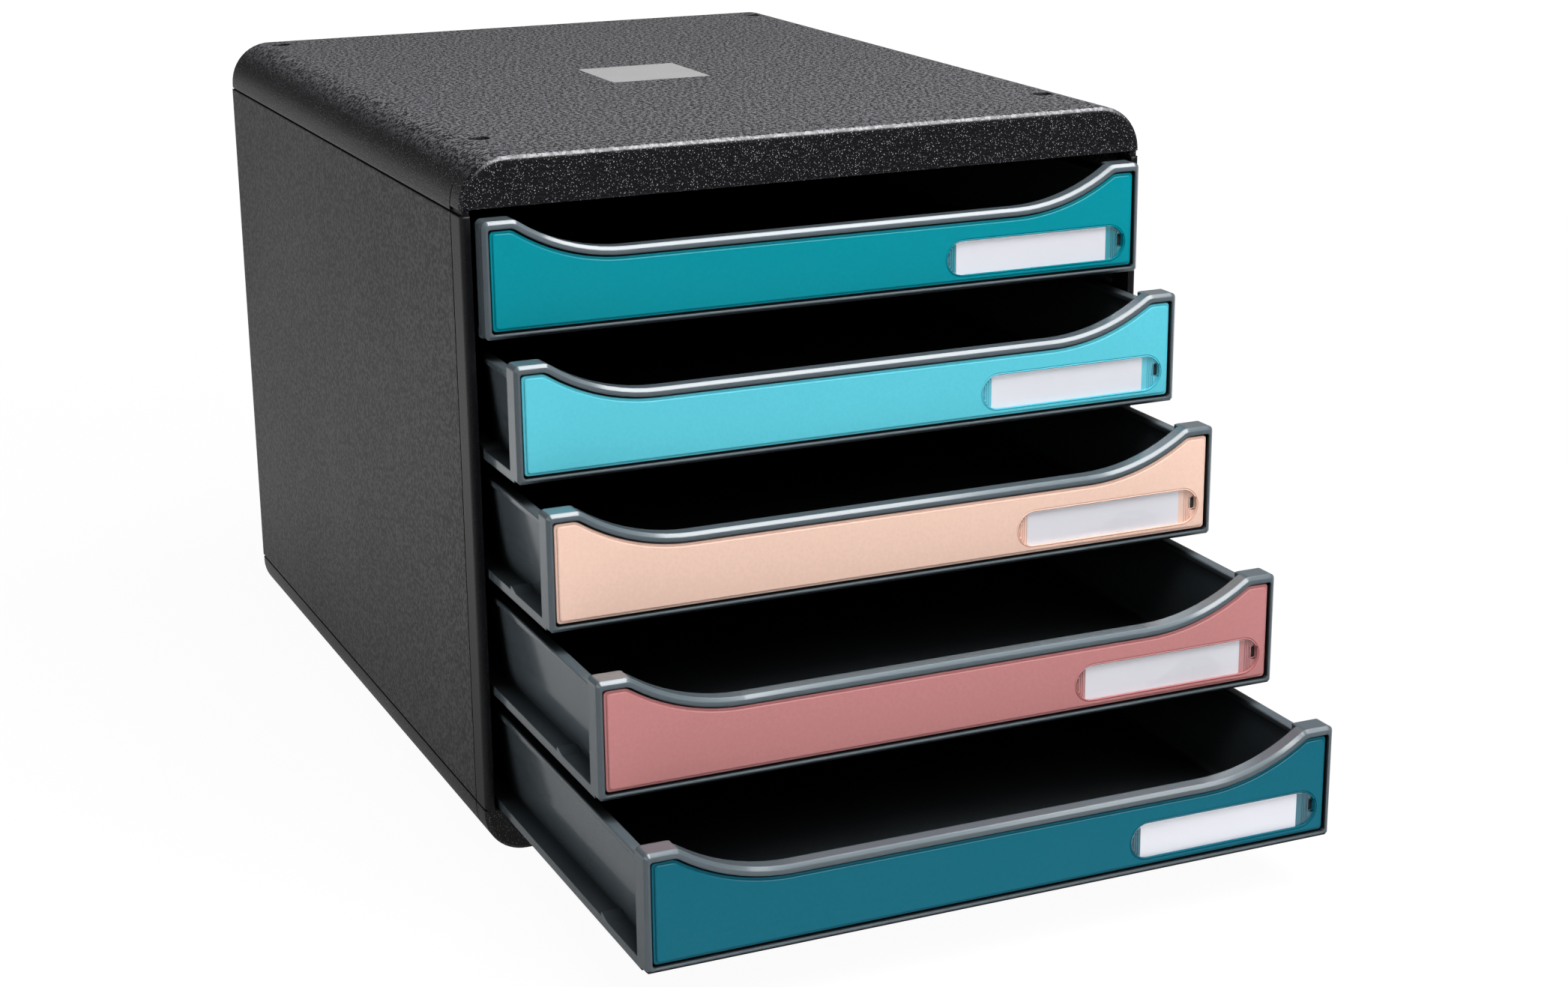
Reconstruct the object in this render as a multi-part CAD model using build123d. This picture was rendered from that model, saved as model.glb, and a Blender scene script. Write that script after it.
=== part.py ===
"""Desktop drawer module for papers and small supplies: a black moulded cabinet made of a lid, a base, two
side panels and a back, with five pull-out trays that have a scooped front, a coloured panel and a label window.

Frame: millimetres, +Z up, the fronts face -Y, +X is to the right as seen from the front. The origin is the
middle of the cabinet's footprint on the surface that it stands on. The trays are drawn pulled out, the lowest
the furthest, by DRAWER_OPENINGS.
"""
from build123d import *
import math
import os

# ---- Cabinet, outside ----
CASE_WIDTH = 278.0
CASE_DEPTH = 347.0
CASE_HEIGHT = 267.0
FOOT_HEIGHT = 1.2
FOOT_DIAMETER = 7.6
BASE_HEIGHT = 17.8            # from the underside of the base to the lower side seam
LID_HEIGHT = 19.7             # from the upper side seam to the top
LID_RADIUS = 18.0             # the two long upper edges
BASE_RADIUS = 16.0            # the two long lower edges
FRONT_EDGE_RADIUS = 2.0       # where the front bands and posts turn into the front face
BASE_EDGE_CHAMFER = 1.3
REAR_EDGE_CHAMFER = 1.0
# ---- Cabinet, walls and seams ----
SKIN = 2.6                    # wall of the lid, base, sides and back
BAND_DEPTH = 12.0             # front bands and posts, front to back
POST_WIDTH = 3.6
SEAM_WIDTH = 0.8              # open shadow line between two mouldings
SEAM_DEPTH = 0.8
NECK_HEIGHT = 2.4             # recessed strip between the lid's front band and each post
NECK_INSET = 1.0
BAND_LIFT = 1.5               # the lid's front band stops this much above the side seam
LID_RIB_HEIGHT = 5.0
BASE_RIB_HEIGHT = 7.0
RIB_WIDTH = 1.8
RIB_COUNT = 3
# ---- Stacking sockets in the lid, with the feet under them ----
SOCKET_DEPTH = 1.6
SOCKET_PLAY = 0.6             # socket diameter over foot diameter
SOCKET_FROM_SIDE = 21.0
SOCKET_FROM_FRONT = 41.0
SOCKET_FROM_BACK = 13.0
# ---- Bare plate let into the lid ----
PLATE_SIZE = 43.5
PLATE_THICKNESS = 0.5
PLATE_GAP = 0.15
PLATE_CENTRE = (-2.2, -1.5)
# ---- Drawer fronts ----
DRAWER_OPENINGS = (9.2, 38.8, 68.1, 113.2, 154.0)     # how far each front stands out, top drawer first
DRAWER_LIFT = 0.95            # gap between the base and the lowest drawer
BAY_TOP_GAP = 0.3             # between the topmost drawer's room and the lid's front band
FRONT_GAP = 2.81              # from one drawer front up to the next
FRONT_PLAY = 1.5              # between a drawer front and each post
SCOOP_DROP = 13.3             # lip in the middle, below the raised corners
SCOOP_END = 53.9              # from each end of the front to the lip's straight low stretch
SCOOP_RADIUS = 71.6           # of the curve up to each corner
LIP_DEPTH = 7.2
RETURN_DEPTH = 8.8            # how far the front's side edges reach back
CORNER_WIDTH = 12.3           # of each raised corner
LIP_CHAMFER = 1.2
CORNER_ROUND = 2.2
KINK_ROUND = 5.0
FOOT_CORNER_CUT = 0.95
BORDER_SIDE = 2.0             # frame round the colour panel, at the sides and the bottom
BORDER_TOP = 2.9
FRONT_WALL = 2.2              # behind the colour panel
# ---- Colour panel ----
PANEL_THICKNESS = 2.0
PANEL_SET_BACK = 0.6
PANEL_GAP = 0.8
PANEL_CHAMFER = 0.3
PANEL_CORNER_ROUND = 1.0
PANEL_KINK_ROUND = 4.0
# ---- Label window in the colour panel ----
WINDOW_LENGTH = 77.5
WINDOW_HEIGHT = 13.6
WINDOW_FROM_SIDE = 6.3        # window's right end from the right end of the drawer front
WINDOW_Z = 12.25
WINDOW_POCKET = 1.4
WINDOW_GAP = 0.15
WINDOW_SET_BACK = 0.15
CARD_LENGTH = 65.5
CARD_SHIFT = -1.75            # card's middle from the window's middle
CARD_THICKNESS = 0.3
CARD_GAP = 0.3                # card to the pocket's long edges
NAIL_SLOT_WIDTH = 1.6
NAIL_SLOT_HEIGHT = 4.4
NAIL_SLOT_RISE = 0.8          # slot's middle above the window's middle
NAIL_SLOT_EDGE = 1.2          # slot's middle from the window's right end
# ---- Drawer trays ----
TRAY_REAR_ROOM = 11.0         # behind a closed tray, to the cabinet's back face
RUNNER_ROOM = 10.4            # from the inside of each side panel to the tray's wall at its foot
WALL_FLARE = 4.2              # each side wall leans outwards this much
TRAY_WALL = 2.0
TRAY_FLOOR = 2.0
FLOOR_RAISE = 0.8             # floor above the runner flanges' underside
FLOOR_SEAT = 6.0              # width of the solid strip round the raised floor
RIM_DROP = 5.7                # rim below the raised front corners
RIM_THICKNESS = 2.2
RIM_WIDTH = 4.5
RIM_OVERHANG = 1.1            # rim beyond the wall's outside
RIM_ROUND = 0.7
FLOOR_ROUND = 2.5
FLANGE_THICKNESS = 3.4
RIDGE_HEIGHT = 1.4            # stop ridge across each flange
RIDGE_REAR = 43.0             # its upright rear face, from the front face
RIDGE_LENGTH = 6.0
RIDGE_CREST = 1.5             # flat top of the ridge
LUG_FROM_REAR = 16.0          # front of the stop lug on each flange, from the tray's rear face
LUG_HEIGHT = 2.8
LUG_LENGTH = 6.0
LUG_WIDTH = 3.0
LUG_WALL_GAP = 0.8            # lug to the tray's wall at its foot
# ---- Runner channels on the cabinet's sides ----
RUNNER_WEB = 1.8
RUNNER_LEDGE = 2.2
GUIDE_THICKNESS = 2.0
RUNNER_UNDER_GAP = 0.3        # ledge to flange
RUNNER_OVER_GAP = 0.4         # flange to guide
RUNNER_WALL_GAP = 1.3         # ledge to the tray's wall at its foot
LUG_SIDE_GAP = 0.5
STOP_GAP = 0.4
STOP_LENGTH = 8.0

FRONT = -CASE_DEPTH / 2
BACK = CASE_DEPTH / 2
SIDE = CASE_WIDTH / 2
SEAM_LOW = FOOT_HEIGHT + BASE_HEIGHT
SEAM_HIGH = CASE_HEIGHT - LID_HEIGHT
BAND_LOW = SEAM_HIGH + BAND_LIFT
POST_TOP = BAND_LOW - NECK_HEIGHT
BAND_BACK = FRONT + BAND_DEPTH
DRAWERS = len(DRAWER_OPENINGS)
DRAWER_LOW = SEAM_LOW + DRAWER_LIFT
DRAWER_PITCH = (BAND_LOW - BAY_TOP_GAP - DRAWER_LOW) / DRAWERS
HALF_FRONT = SIDE - POST_WIDTH - FRONT_PLAY
FRONT_HEIGHT = DRAWER_PITCH - FRONT_GAP
SCOOP_HEIGHT = FRONT_HEIGHT - SCOOP_DROP
SOCKET_X = SIDE - SOCKET_FROM_SIDE
WINDOW_X = HALF_FRONT - WINDOW_FROM_SIDE - WINDOW_LENGTH / 2
CARD_X = WINDOW_X + CARD_SHIFT
BASE_HALF = SIDE - SKIN - RUNNER_ROOM
TOP_HALF = BASE_HALF + WALL_FLARE
TRAY_LENGTH = CASE_DEPTH - TRAY_REAR_ROOM
RIM_HEIGHT = FRONT_HEIGHT - RIM_DROP
WALL_TOP = RIM_HEIGHT - RIM_THICKNESS
FLOOR_TOP = FLOOR_RAISE + TRAY_FLOOR
LUG_FRONT = TRAY_LENGTH - LUG_FROM_REAR
FLANGE_TOP = FLANGE_THICKNESS
PANEL_BACK = PANEL_SET_BACK + PANEL_THICKNESS
WALL_BACK = PANEL_BACK + FRONT_WALL
EPS = 1.0                     # cutters reach this far past the faces that they cut


def block(x_range, y_range, z_range):
    """A box between two values along each axis."""
    sizes = [abs(b - a) for a, b in (x_range, y_range, z_range)]
    middle = [(a + b) / 2 for a, b in (x_range, y_range, z_range)]
    return Pos(*middle) * Box(*sizes)


def slab(sketch, y_front, y_back):
    """A sketch drawn in X and Z, given depth from y_front back to y_back."""
    upright = Plane(origin=(0, y_front, 0), x_dir=(1, 0, 0), z_dir=(0, -1, 0))
    return extrude(upright * sketch, amount=-(y_back - y_front))


def mirrored(half):
    """A piece on the right and its mirror image on the left, as one shape."""
    return half + mirror(half, about=Plane.YZ)


def rounded_strip(half_width, z_straight, z_round, radius):
    """Cross-section of the lid or base: square corners at z_straight, large round ones at z_round."""
    z_middle = (z_straight + z_round) / 2
    sketch = Pos(0, z_middle) * Rectangle(2 * half_width, abs(z_round - z_straight))
    rows = sketch.vertices().group_by(Axis.Y)
    corners = rows[-1] if z_round > z_straight else rows[0]
    return fillet(corners, radius)


def inset_strip(z_straight, z_round, radius, inset):
    """The same cross-section, inset from the outside but running out through its straight side."""
    outward = 1 if z_straight > z_round else -1
    return rounded_strip(SIDE - inset, z_straight + outward * EPS, z_round + outward * inset, radius - inset)


def edges_in_plane(shape, y):
    """Edges that lie wholly in the upright plane at y."""
    return shape.edges().filter_by_position(Axis.Y, y, y)


def cover_main(z_straight, z_round, radius, rib_height):
    """Long part of the lid or base: a shell with a rear wall and cross ribs, open to the front band."""
    body = slab(rounded_strip(SIDE, z_straight, z_round, radius), BAND_BACK, BACK)
    rear = edges_in_plane(body, BACK).filter_by(lambda e: abs(e.center().Z - z_straight) > EPS)
    body = chamfer(rear, REAR_EDGE_CHAMFER)
    hollow = slab(inset_strip(z_straight, z_round, radius, SKIN), BAND_BACK - EPS, BACK - SKIN)
    shell = body - hollow
    inward = 1 if z_straight > z_round else -1
    z_skin = z_round + inward * SKIN
    z_tip = z_skin + inward * rib_height
    for index in range(RIB_COUNT):
        y = BAND_BACK + (BACK - SKIN - BAND_BACK) * (index + 1) / (RIB_COUNT + 1)
        rib = block((SIDE - radius, radius - SIDE), (y - RIB_WIDTH / 2, y + RIB_WIDTH / 2), (z_skin, z_tip))
        shell = shell + rib
    return shell


def cover_band(z_straight, z_round, radius, soften_edges):
    """Front band of the lid or base: a shallow shell closed in front, with a shadow line at its rear."""
    body = slab(rounded_strip(SIDE, z_straight, z_round, radius), FRONT, BAND_BACK)
    front = edges_in_plane(body, FRONT).filter_by(lambda e: abs(e.center().Z - z_straight) > EPS)
    body = soften_edges(front)
    hollow = slab(inset_strip(z_straight, z_round, radius, SKIN), FRONT + SKIN, BAND_BACK + EPS)
    outside = slab(rounded_strip(SIDE + EPS, z_straight, z_round, radius), BAND_BACK - SEAM_WIDTH, BAND_BACK + EPS)
    core = slab(inset_strip(z_straight, z_round, radius, SEAM_DEPTH), BAND_BACK - SEAM_WIDTH, BAND_BACK + EPS)
    return body - hollow - (outside - core)


def socket_places():
    """Where the four stacking sockets and feet are."""
    rows = (FRONT + SOCKET_FROM_FRONT, BACK - SOCKET_FROM_BACK)
    return [(side * SOCKET_X, y) for y in rows for side in (-1, 1)]


def lid():
    shell = cover_main(SEAM_HIGH, CASE_HEIGHT, LID_RADIUS, LID_RIB_HEIGHT)
    socket_radius = (FOOT_DIAMETER + SOCKET_PLAY) / 2
    for x, y in socket_places():
        sink = Cylinder(socket_radius, SOCKET_DEPTH + EPS, align=(Align.CENTER, Align.CENTER, Align.MIN))
        shell = shell - Pos(x, y, CASE_HEIGHT - SOCKET_DEPTH) * sink
    half = PLATE_SIZE / 2 + PLATE_GAP
    x, y = PLATE_CENTRE
    recess = block((x - half, x + half), (y - half, y + half), (CASE_HEIGHT - PLATE_THICKNESS, CASE_HEIGHT + EPS))
    return shell - recess


def lid_band():
    neck = block((SIDE - NECK_INSET, SIDE - POST_WIDTH), (FRONT + NECK_INSET, BAND_BACK), (POST_TOP, BAND_LOW))
    band = cover_band(BAND_LOW, CASE_HEIGHT, LID_RADIUS, lambda edges: fillet(edges, FRONT_EDGE_RADIUS))
    return band + mirrored(neck)


def base():
    return cover_main(SEAM_LOW, FOOT_HEIGHT, BASE_RADIUS, BASE_RIB_HEIGHT)


def base_band():
    return cover_band(SEAM_LOW, FOOT_HEIGHT, BASE_RADIUS, lambda edges: chamfer(edges, BASE_EDGE_CHAMFER))


def bare_plate():
    plate = Box(PLATE_SIZE, PLATE_SIZE, PLATE_THICKNESS, align=(Align.CENTER, Align.CENTER, Align.MAX))
    return Pos(PLATE_CENTRE[0], PLATE_CENTRE[1], CASE_HEIGHT) * plate


def foot(x, y):
    disc = Cylinder(FOOT_DIAMETER / 2, FOOT_HEIGHT, align=(Align.CENTER, Align.CENTER, Align.MIN))
    return Pos(x, y, 0) * disc


def side_panel():
    """Right side panel, with a shadow line along its top and bottom edges."""
    panel = block((SIDE - SKIN, SIDE), (BAND_BACK, BACK), (SEAM_LOW, SEAM_HIGH))
    for z_low, z_high in ((SEAM_HIGH - SEAM_WIDTH, SEAM_HIGH + EPS), (SEAM_LOW - EPS, SEAM_LOW + SEAM_WIDTH)):
        panel = panel - block((SIDE - SEAM_DEPTH, SIDE + EPS), (BAND_BACK - EPS, BACK + EPS), (z_low, z_high))
    return panel


def front_post():
    """Right front post, with a rounded front corner and shadow lines behind and below it."""
    post = block((SIDE - POST_WIDTH, SIDE), (FRONT, BAND_BACK), (SEAM_LOW, POST_TOP))
    corner = edges_in_plane(post, FRONT).filter_by(Axis.Z).sort_by(Axis.X)[-1]
    post = fillet([corner], FRONT_EDGE_RADIUS)
    rear_line = block((SIDE - SEAM_DEPTH, SIDE + EPS), (BAND_BACK - SEAM_WIDTH, BAND_BACK + EPS), (0, CASE_HEIGHT))
    foot_line = block((SIDE - SEAM_DEPTH, SIDE + EPS), (FRONT - EPS, BAND_BACK + EPS),
                      (SEAM_LOW - EPS, SEAM_LOW + SEAM_WIDTH))
    return post - rear_line - foot_line


def back_panel():
    return block((SKIN - SIDE, SIDE - SKIN), (BACK - SKIN, BACK), (SEAM_LOW, SEAM_HIGH))


def runner(z):
    """Right runner channel for a drawer whose flange has its underside at z: ledge, web and guide."""
    x_out = SIDE - SKIN
    x_web = x_out - RUNNER_WEB
    x_in = BASE_HALF + RUNNER_WALL_GAP
    x_guide = BASE_HALF + LUG_WALL_GAP + LUG_WIDTH + LUG_SIDE_GAP
    y_end = BACK - SKIN
    z_ledge = z - RUNNER_UNDER_GAP
    z_guide = z + FLANGE_TOP + RUNNER_OVER_GAP
    y_guide = FRONT + RIDGE_REAR + STOP_GAP
    ledge = block((x_in, x_out), (BAND_BACK, y_end), (z_ledge - RUNNER_LEDGE, z_ledge))
    web = block((x_web, x_out), (BAND_BACK, y_end), (z_ledge, z_guide + GUIDE_THICKNESS))
    guide = block((x_guide, x_web), (y_guide, y_end), (z_guide, z_guide + GUIDE_THICKNESS))
    stop = block((x_in, x_guide), (y_guide, y_guide + STOP_LENGTH), (z_guide, z_guide + GUIDE_THICKNESS))
    return ledge + web + guide + stop


def front_outline(side_inset, bottom_inset, top_inset, rounds):
    """Outline of a drawer front: raised corners and a scooped middle, inset from the outside all round.
    rounds are the radii at the top corners and the kinks."""
    half = HALF_FRONT - side_inset
    low = bottom_inset
    high = FRONT_HEIGHT - top_inset
    scoop = SCOOP_HEIGHT - top_inset
    flat = HALF_FRONT - SCOOP_END
    radius = SCOOP_RADIUS + top_inset
    centre_z = scoop + radius
    reach = math.sqrt(radius ** 2 - (centre_z - high) ** 2)
    kink = flat + reach
    bend = math.asin(reach / radius) / 2
    middle = (flat + radius * math.sin(bend), centre_z - radius * math.cos(bend))
    lines = [
        Line((-half, low), (half, low)),
        Line((half, low), (half, high)),
        Line((half, high), (kink, high)),
        ThreePointArc((kink, high), middle, (flat, scoop)),
        Line((flat, scoop), (-flat, scoop)),
        ThreePointArc((-flat, scoop), (-middle[0], middle[1]), (-kink, high)),
        Line((-kink, high), (-half, high)),
        Line((-half, high), (-half, low)),
    ]
    sketch = make_face(Curve() + lines)
    corner_round, kink_round = rounds
    sketch = chamfer(sketch.vertices().group_by(Axis.Y)[0], FOOT_CORNER_CUT)
    tops = sketch.vertices().filter_by(lambda v: abs(v.Y - high) < 0.01)
    sketch = fillet(tops.filter_by(lambda v: abs(abs(v.X) - half) < 0.01), corner_round)
    kinks = sketch.vertices().filter_by(lambda v: abs(abs(v.X) - kink) < 0.01 and abs(v.Y - high) < 0.01)
    return fillet(kinks, kink_round)


def outer_outline():
    return front_outline(0, 0, 0, (CORNER_ROUND, KINK_ROUND))


def panel_outline(inset):
    """Outline of the colour panel's seat, inset further by the given amount."""
    rounds = (PANEL_CORNER_ROUND, PANEL_KINK_ROUND)
    return front_outline(BORDER_SIDE + inset, BORDER_SIDE + inset, BORDER_TOP + inset, rounds)


def tray_outline():
    """Outside of a tray below its rim, as seen from the front."""
    corners = ((-BASE_HALF, 0), (BASE_HALF, 0), (TOP_HALF, WALL_TOP), (-TOP_HALF, WALL_TOP))
    return make_face(Polyline(*corners, close=True))


def tray_section():
    """Cross-section of a tray: floor, flared walls, turned-over rims and runner flanges."""
    lean = WALL_FLARE / WALL_TOP
    inner_low = BASE_HALF - TRAY_WALL + lean * FLOOR_TOP
    inner_high = TOP_HALF - TRAY_WALL + lean * EPS
    inner_top = WALL_TOP + EPS
    corners = ((-inner_low, FLOOR_TOP), (inner_low, FLOOR_TOP), (inner_high, inner_top), (-inner_high, inner_top))
    inner = make_face(Polyline(*corners, close=True))
    inner = fillet(inner.vertices().group_by(Axis.Y)[0], FLOOR_ROUND)
    section = tray_outline() - inner
    rim_middle = TOP_HALF + RIM_OVERHANG - RIM_WIDTH / 2
    flange_width = HALF_FRONT - BASE_HALF + TRAY_WALL
    for side in (-1, 1):
        rim = Pos(side * rim_middle, RIM_HEIGHT - RIM_THICKNESS / 2) * Rectangle(RIM_WIDTH, RIM_THICKNESS)
        rim = fillet(rim.vertices().group_by(Axis.Y)[-1], RIM_ROUND)
        flange = Pos(side * (HALF_FRONT - flange_width / 2), FLANGE_TOP / 2) * Rectangle(flange_width, FLANGE_TOP)
        section = section + rim + flange
    return section


def drawer_front():
    """Moulded front of a tray: rounded lip, seat for the colour panel, front wall and side returns."""
    front = slab(outer_outline(), 0, LIP_DEPTH)
    front = chamfer(edges_in_plane(front, 0) + edges_in_plane(front, LIP_DEPTH), LIP_CHAMFER)
    ends = slab(outer_outline(), LIP_DEPTH - 2 * LIP_CHAMFER, RETURN_DEPTH)
    kink_half = HALF_FRONT - CORNER_WIDTH
    middle = block((-kink_half, kink_half), (-EPS, RETURN_DEPTH + EPS), (-EPS, FRONT_HEIGHT + EPS))
    front = front + (ends - middle)
    seat = slab(panel_outline(0), -EPS, PANEL_BACK)
    half = BASE_HALF - TRAY_WALL
    hollow = block((-half, half), (WALL_BACK, RETURN_DEPTH + EPS), (FLOOR_TOP, SCOOP_HEIGHT - BORDER_TOP))
    return front - seat - hollow


def stops():
    """Stop ridge near the front of each runner flange, and stop lug near its rear."""
    crest = FLANGE_TOP + RIDGE_HEIGHT
    profile = ((RIDGE_REAR - RIDGE_LENGTH, FLANGE_TOP), (RIDGE_REAR, FLANGE_TOP), (RIDGE_REAR, crest),
               (RIDGE_REAR - RIDGE_CREST, crest))
    wedge = extrude(Plane.YZ * make_face(Polyline(*profile, close=True)), amount=HALF_FRONT - BASE_HALF)
    lug_inside = BASE_HALF + LUG_WALL_GAP
    lug = block((lug_inside, lug_inside + LUG_WIDTH), (LUG_FRONT, LUG_FRONT + LUG_LENGTH),
                (FLANGE_TOP, FLANGE_TOP + LUG_HEIGHT))
    return mirrored(Pos(BASE_HALF, 0, 0) * wedge + lug)


def drawer_tray():
    """One moulded tray: front, cross-section carried back, rear wall, stop ridges and stop lugs."""
    body = slab(tray_section(), WALL_BACK, TRAY_LENGTH)
    body = body + slab(tray_outline(), TRAY_LENGTH - TRAY_WALL, TRAY_LENGTH)
    rear_rim = TOP_HALF + RIM_OVERHANG - RIM_WIDTH / 2
    body = body + block((-rear_rim, rear_rim), (TRAY_LENGTH - RIM_WIDTH, TRAY_LENGTH), (WALL_TOP, RIM_HEIGHT))
    underside = BASE_HALF - FLOOR_SEAT
    body = body - block((-underside, underside), (RETURN_DEPTH, TRAY_LENGTH - FLOOR_SEAT), (-EPS, FLOOR_RAISE))
    return body + drawer_front() + stops()


def window_stadium(gap):
    """Outline of the label window, smaller all round by gap."""
    return Pos(WINDOW_X, WINDOW_Z) * SlotOverall(WINDOW_LENGTH - 2 * gap, WINDOW_HEIGHT - 2 * gap)


def nail_slot():
    """Small slot at the right end of the label window, for pushing the card out."""
    x = WINDOW_X + WINDOW_LENGTH / 2 - NAIL_SLOT_EDGE
    slot = Pos(x, WINDOW_Z + NAIL_SLOT_RISE) * Rectangle(NAIL_SLOT_WIDTH, NAIL_SLOT_HEIGHT)
    return slab(slot, -EPS, PANEL_BACK + EPS)


def colour_panel():
    panel = slab(panel_outline(PANEL_GAP), PANEL_SET_BACK, PANEL_BACK)
    panel = chamfer(edges_in_plane(panel, PANEL_SET_BACK), PANEL_CHAMFER)
    pocket = slab(window_stadium(0), PANEL_SET_BACK - EPS, PANEL_SET_BACK + WINDOW_POCKET)
    return panel - pocket - nail_slot()


def label_card():
    y_back = PANEL_SET_BACK + WINDOW_POCKET
    card = Pos(CARD_X, WINDOW_Z) * Rectangle(CARD_LENGTH, WINDOW_HEIGHT)
    return slab(card & window_stadium(CARD_GAP), y_back - CARD_THICKNESS, y_back)


def label_window():
    """Clear cover over the card."""
    y_back = PANEL_SET_BACK + WINDOW_POCKET - CARD_THICKNESS
    return slab(window_stadium(WINDOW_GAP), PANEL_SET_BACK + WINDOW_SET_BACK, y_back) - nail_slot()


def drawer_place(index):
    """Front face and underside of a drawer, top drawer first."""
    return FRONT - DRAWER_OPENINGS[index], DRAWER_LOW + DRAWER_PITCH * (DRAWERS - 1 - index)


def cabinet_pieces():
    pieces = {
        "lid": lid(),
        "lid_front_band": lid_band(),
        "base": base(),
        "base_front_band": base_band(),
        "side_panel_right": side_panel(),
        "front_post_right": front_post(),
        "back_panel": back_panel(),
        "bare_plate": bare_plate(),
    }
    for name in ("side_panel", "front_post"):
        pieces[name + "_left"] = mirror(pieces[name + "_right"], about=Plane.YZ)
    for index in range(DRAWERS):
        right = runner(drawer_place(index)[1])
        pieces[f"runner_right_{index + 1}"] = right
        pieces[f"runner_left_{index + 1}"] = mirror(right, about=Plane.YZ)
    for (x, y), name in zip(socket_places(), ("front_left", "front_right", "rear_left", "rear_right")):
        pieces["foot_" + name] = foot(x, y)
    return pieces


def drawer_pieces():
    """The four pieces of each drawer, each shape made once and placed for all drawers."""
    shapes = {"tray": drawer_tray(), "colour_panel": colour_panel(), "label_card": label_card(),
              "label_window": label_window()}
    pieces = {}
    for index in range(DRAWERS):
        y, z = drawer_place(index)
        for name, shape in shapes.items():
            pieces[f"drawer_{index + 1}_{name}"] = Pos(0, y, z) * shape
    return pieces


def main():
    os.makedirs("parts", exist_ok=True)
    for name, shape in {**cabinet_pieces(), **drawer_pieces()}.items():
        export_step(shape, f"parts/{name}.step")


main()
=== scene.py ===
"""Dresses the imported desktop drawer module: a grained black cabinet, satin grey trays, glossy colour
panels and clear label windows over paper cards, on a plain floor in soft studio light. In metres, in the
frame of the solids."""
import math

import bmesh
import bpy
from mathutils import Matrix, Vector


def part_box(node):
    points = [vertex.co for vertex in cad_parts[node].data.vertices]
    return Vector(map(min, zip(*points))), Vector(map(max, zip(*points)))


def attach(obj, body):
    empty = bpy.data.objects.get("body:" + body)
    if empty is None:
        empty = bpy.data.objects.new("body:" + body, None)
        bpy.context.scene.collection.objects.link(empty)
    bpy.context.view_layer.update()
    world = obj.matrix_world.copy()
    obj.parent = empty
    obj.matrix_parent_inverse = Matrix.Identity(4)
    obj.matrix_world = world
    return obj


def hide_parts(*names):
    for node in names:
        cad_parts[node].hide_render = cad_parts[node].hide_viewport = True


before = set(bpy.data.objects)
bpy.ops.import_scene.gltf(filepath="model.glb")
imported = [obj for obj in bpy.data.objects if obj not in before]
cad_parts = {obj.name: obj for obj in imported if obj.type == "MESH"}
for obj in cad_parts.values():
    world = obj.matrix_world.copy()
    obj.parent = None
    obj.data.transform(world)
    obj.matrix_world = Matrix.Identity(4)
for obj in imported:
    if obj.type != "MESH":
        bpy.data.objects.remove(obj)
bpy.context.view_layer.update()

MM = 0.001


def solid_box(node):
    """Lowest and highest corner of a solid at rest, in millimetres."""
    return [[round(value / MM, 4) for value in corner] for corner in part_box(node)]


# ---- A drawer's front, in millimetres: what a box gives comes from the top drawer's own solids ----
TRAY_LOW, TRAY_HIGH = solid_box("drawer_1_tray")
CARD_LOW, CARD_HIGH = solid_box("drawer_1_label_card")
HALF_FRONT = TRAY_HIGH[0]
FRONT_HEIGHT = TRAY_HIGH[2] - TRAY_LOW[2]
SCOOP_HEIGHT = 29.6
SCOOP_FLAT = 80.0
SCOOP_RADIUS = 71.6
BORDER_SIDE = 2.0
BORDER_TOP = 2.9
PANEL_GAP = 0.8
PANEL_BACK = 2.6
WINDOW_X = 88.85
WINDOW_Z = 12.25
WINDOW_LENGTH = 77.5
WINDOW_HEIGHT = 13.6
WINDOW_GAP = 0.25
CARD_STOP = 2.0               # flat strip between the card's right end and the ribs
NAIL_SLOT_X = 126.0
NAIL_SLOT_Z = 13.05
NAIL_SLOT_WIDTH = 2.8
NAIL_SLOT_HEIGHT = 5.0
NAIL_SLOT_ROUND = 0.5

# ---- Ribs beside the label card, clear of the card and of the pocket's round ends, in millimetres ----
RIB_PITCH = 0.80
RIB_WIDTH = 0.44
RIB_HEIGHT = 0.36
RIBS_BELOW_RIM = 0.2
LEFT_RIBS = (WINDOW_X - WINDOW_LENGTH / 2 + 0.9, CARD_LOW[0] - 0.4)
RIGHT_RIBS = (CARD_HIGH[0] + CARD_STOP + 0.8, WINDOW_X + WINDOW_LENGTH / 2 - 2.0)

# ---- Colours, linear ----
BLACK_PLASTIC = (0.005, 0.005, 0.007)
# pale colour of edge wear and speckle, also used for painted glints on the grain's peaks
BLACK_PLASTIC_WEAR_AND_GLINT = (0.38, 0.38, 0.41)
# colour of the painted highlight on the rounded edge between top and front
PAINTED_EDGE_HIGHLIGHT = (0.36, 0.36, 0.38)
SIDE_BLACK = (0.016, 0.016, 0.016)
# pale colour of the sides' wear and speckle, also used for painted glints
SIDE_BLACK_WEAR_AND_GLINT = (0.10, 0.10, 0.10)
INSIDE_BLACK = (0.006, 0.006, 0.007)
TRAY_GREY = (0.105, 0.128, 0.142)
TRAY_GREY_WORN = (0.19, 0.22, 0.24)
CARD_WHITE = (0.80, 0.79, 0.845)
CARD_SHADED = (0.72, 0.71, 0.77)
PLATE_SILVER = (0.60, 0.595, 0.605)
PLATE_DULL = (0.53, 0.53, 0.54)
WINDOW_CLEAR = (0.97, 0.985, 0.99)
COOL_SHINE = (0.86, 0.95, 1.0)
COOL_COAT = (0.95, 0.98, 1.0)
DUST_GREY = (0.45, 0.45, 0.46)
# near-black that the painted shade blends in, deep in trays and in seams
PAINTED_SHADE_BLACK = (0.0008, 0.0008, 0.001)
FLOOR_PALE = (0.86, 0.86, 0.86)
FLOOR_PALE_WORN = (0.84, 0.84, 0.84)
WHITE = (1.0, 1.0, 1.0)
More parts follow.
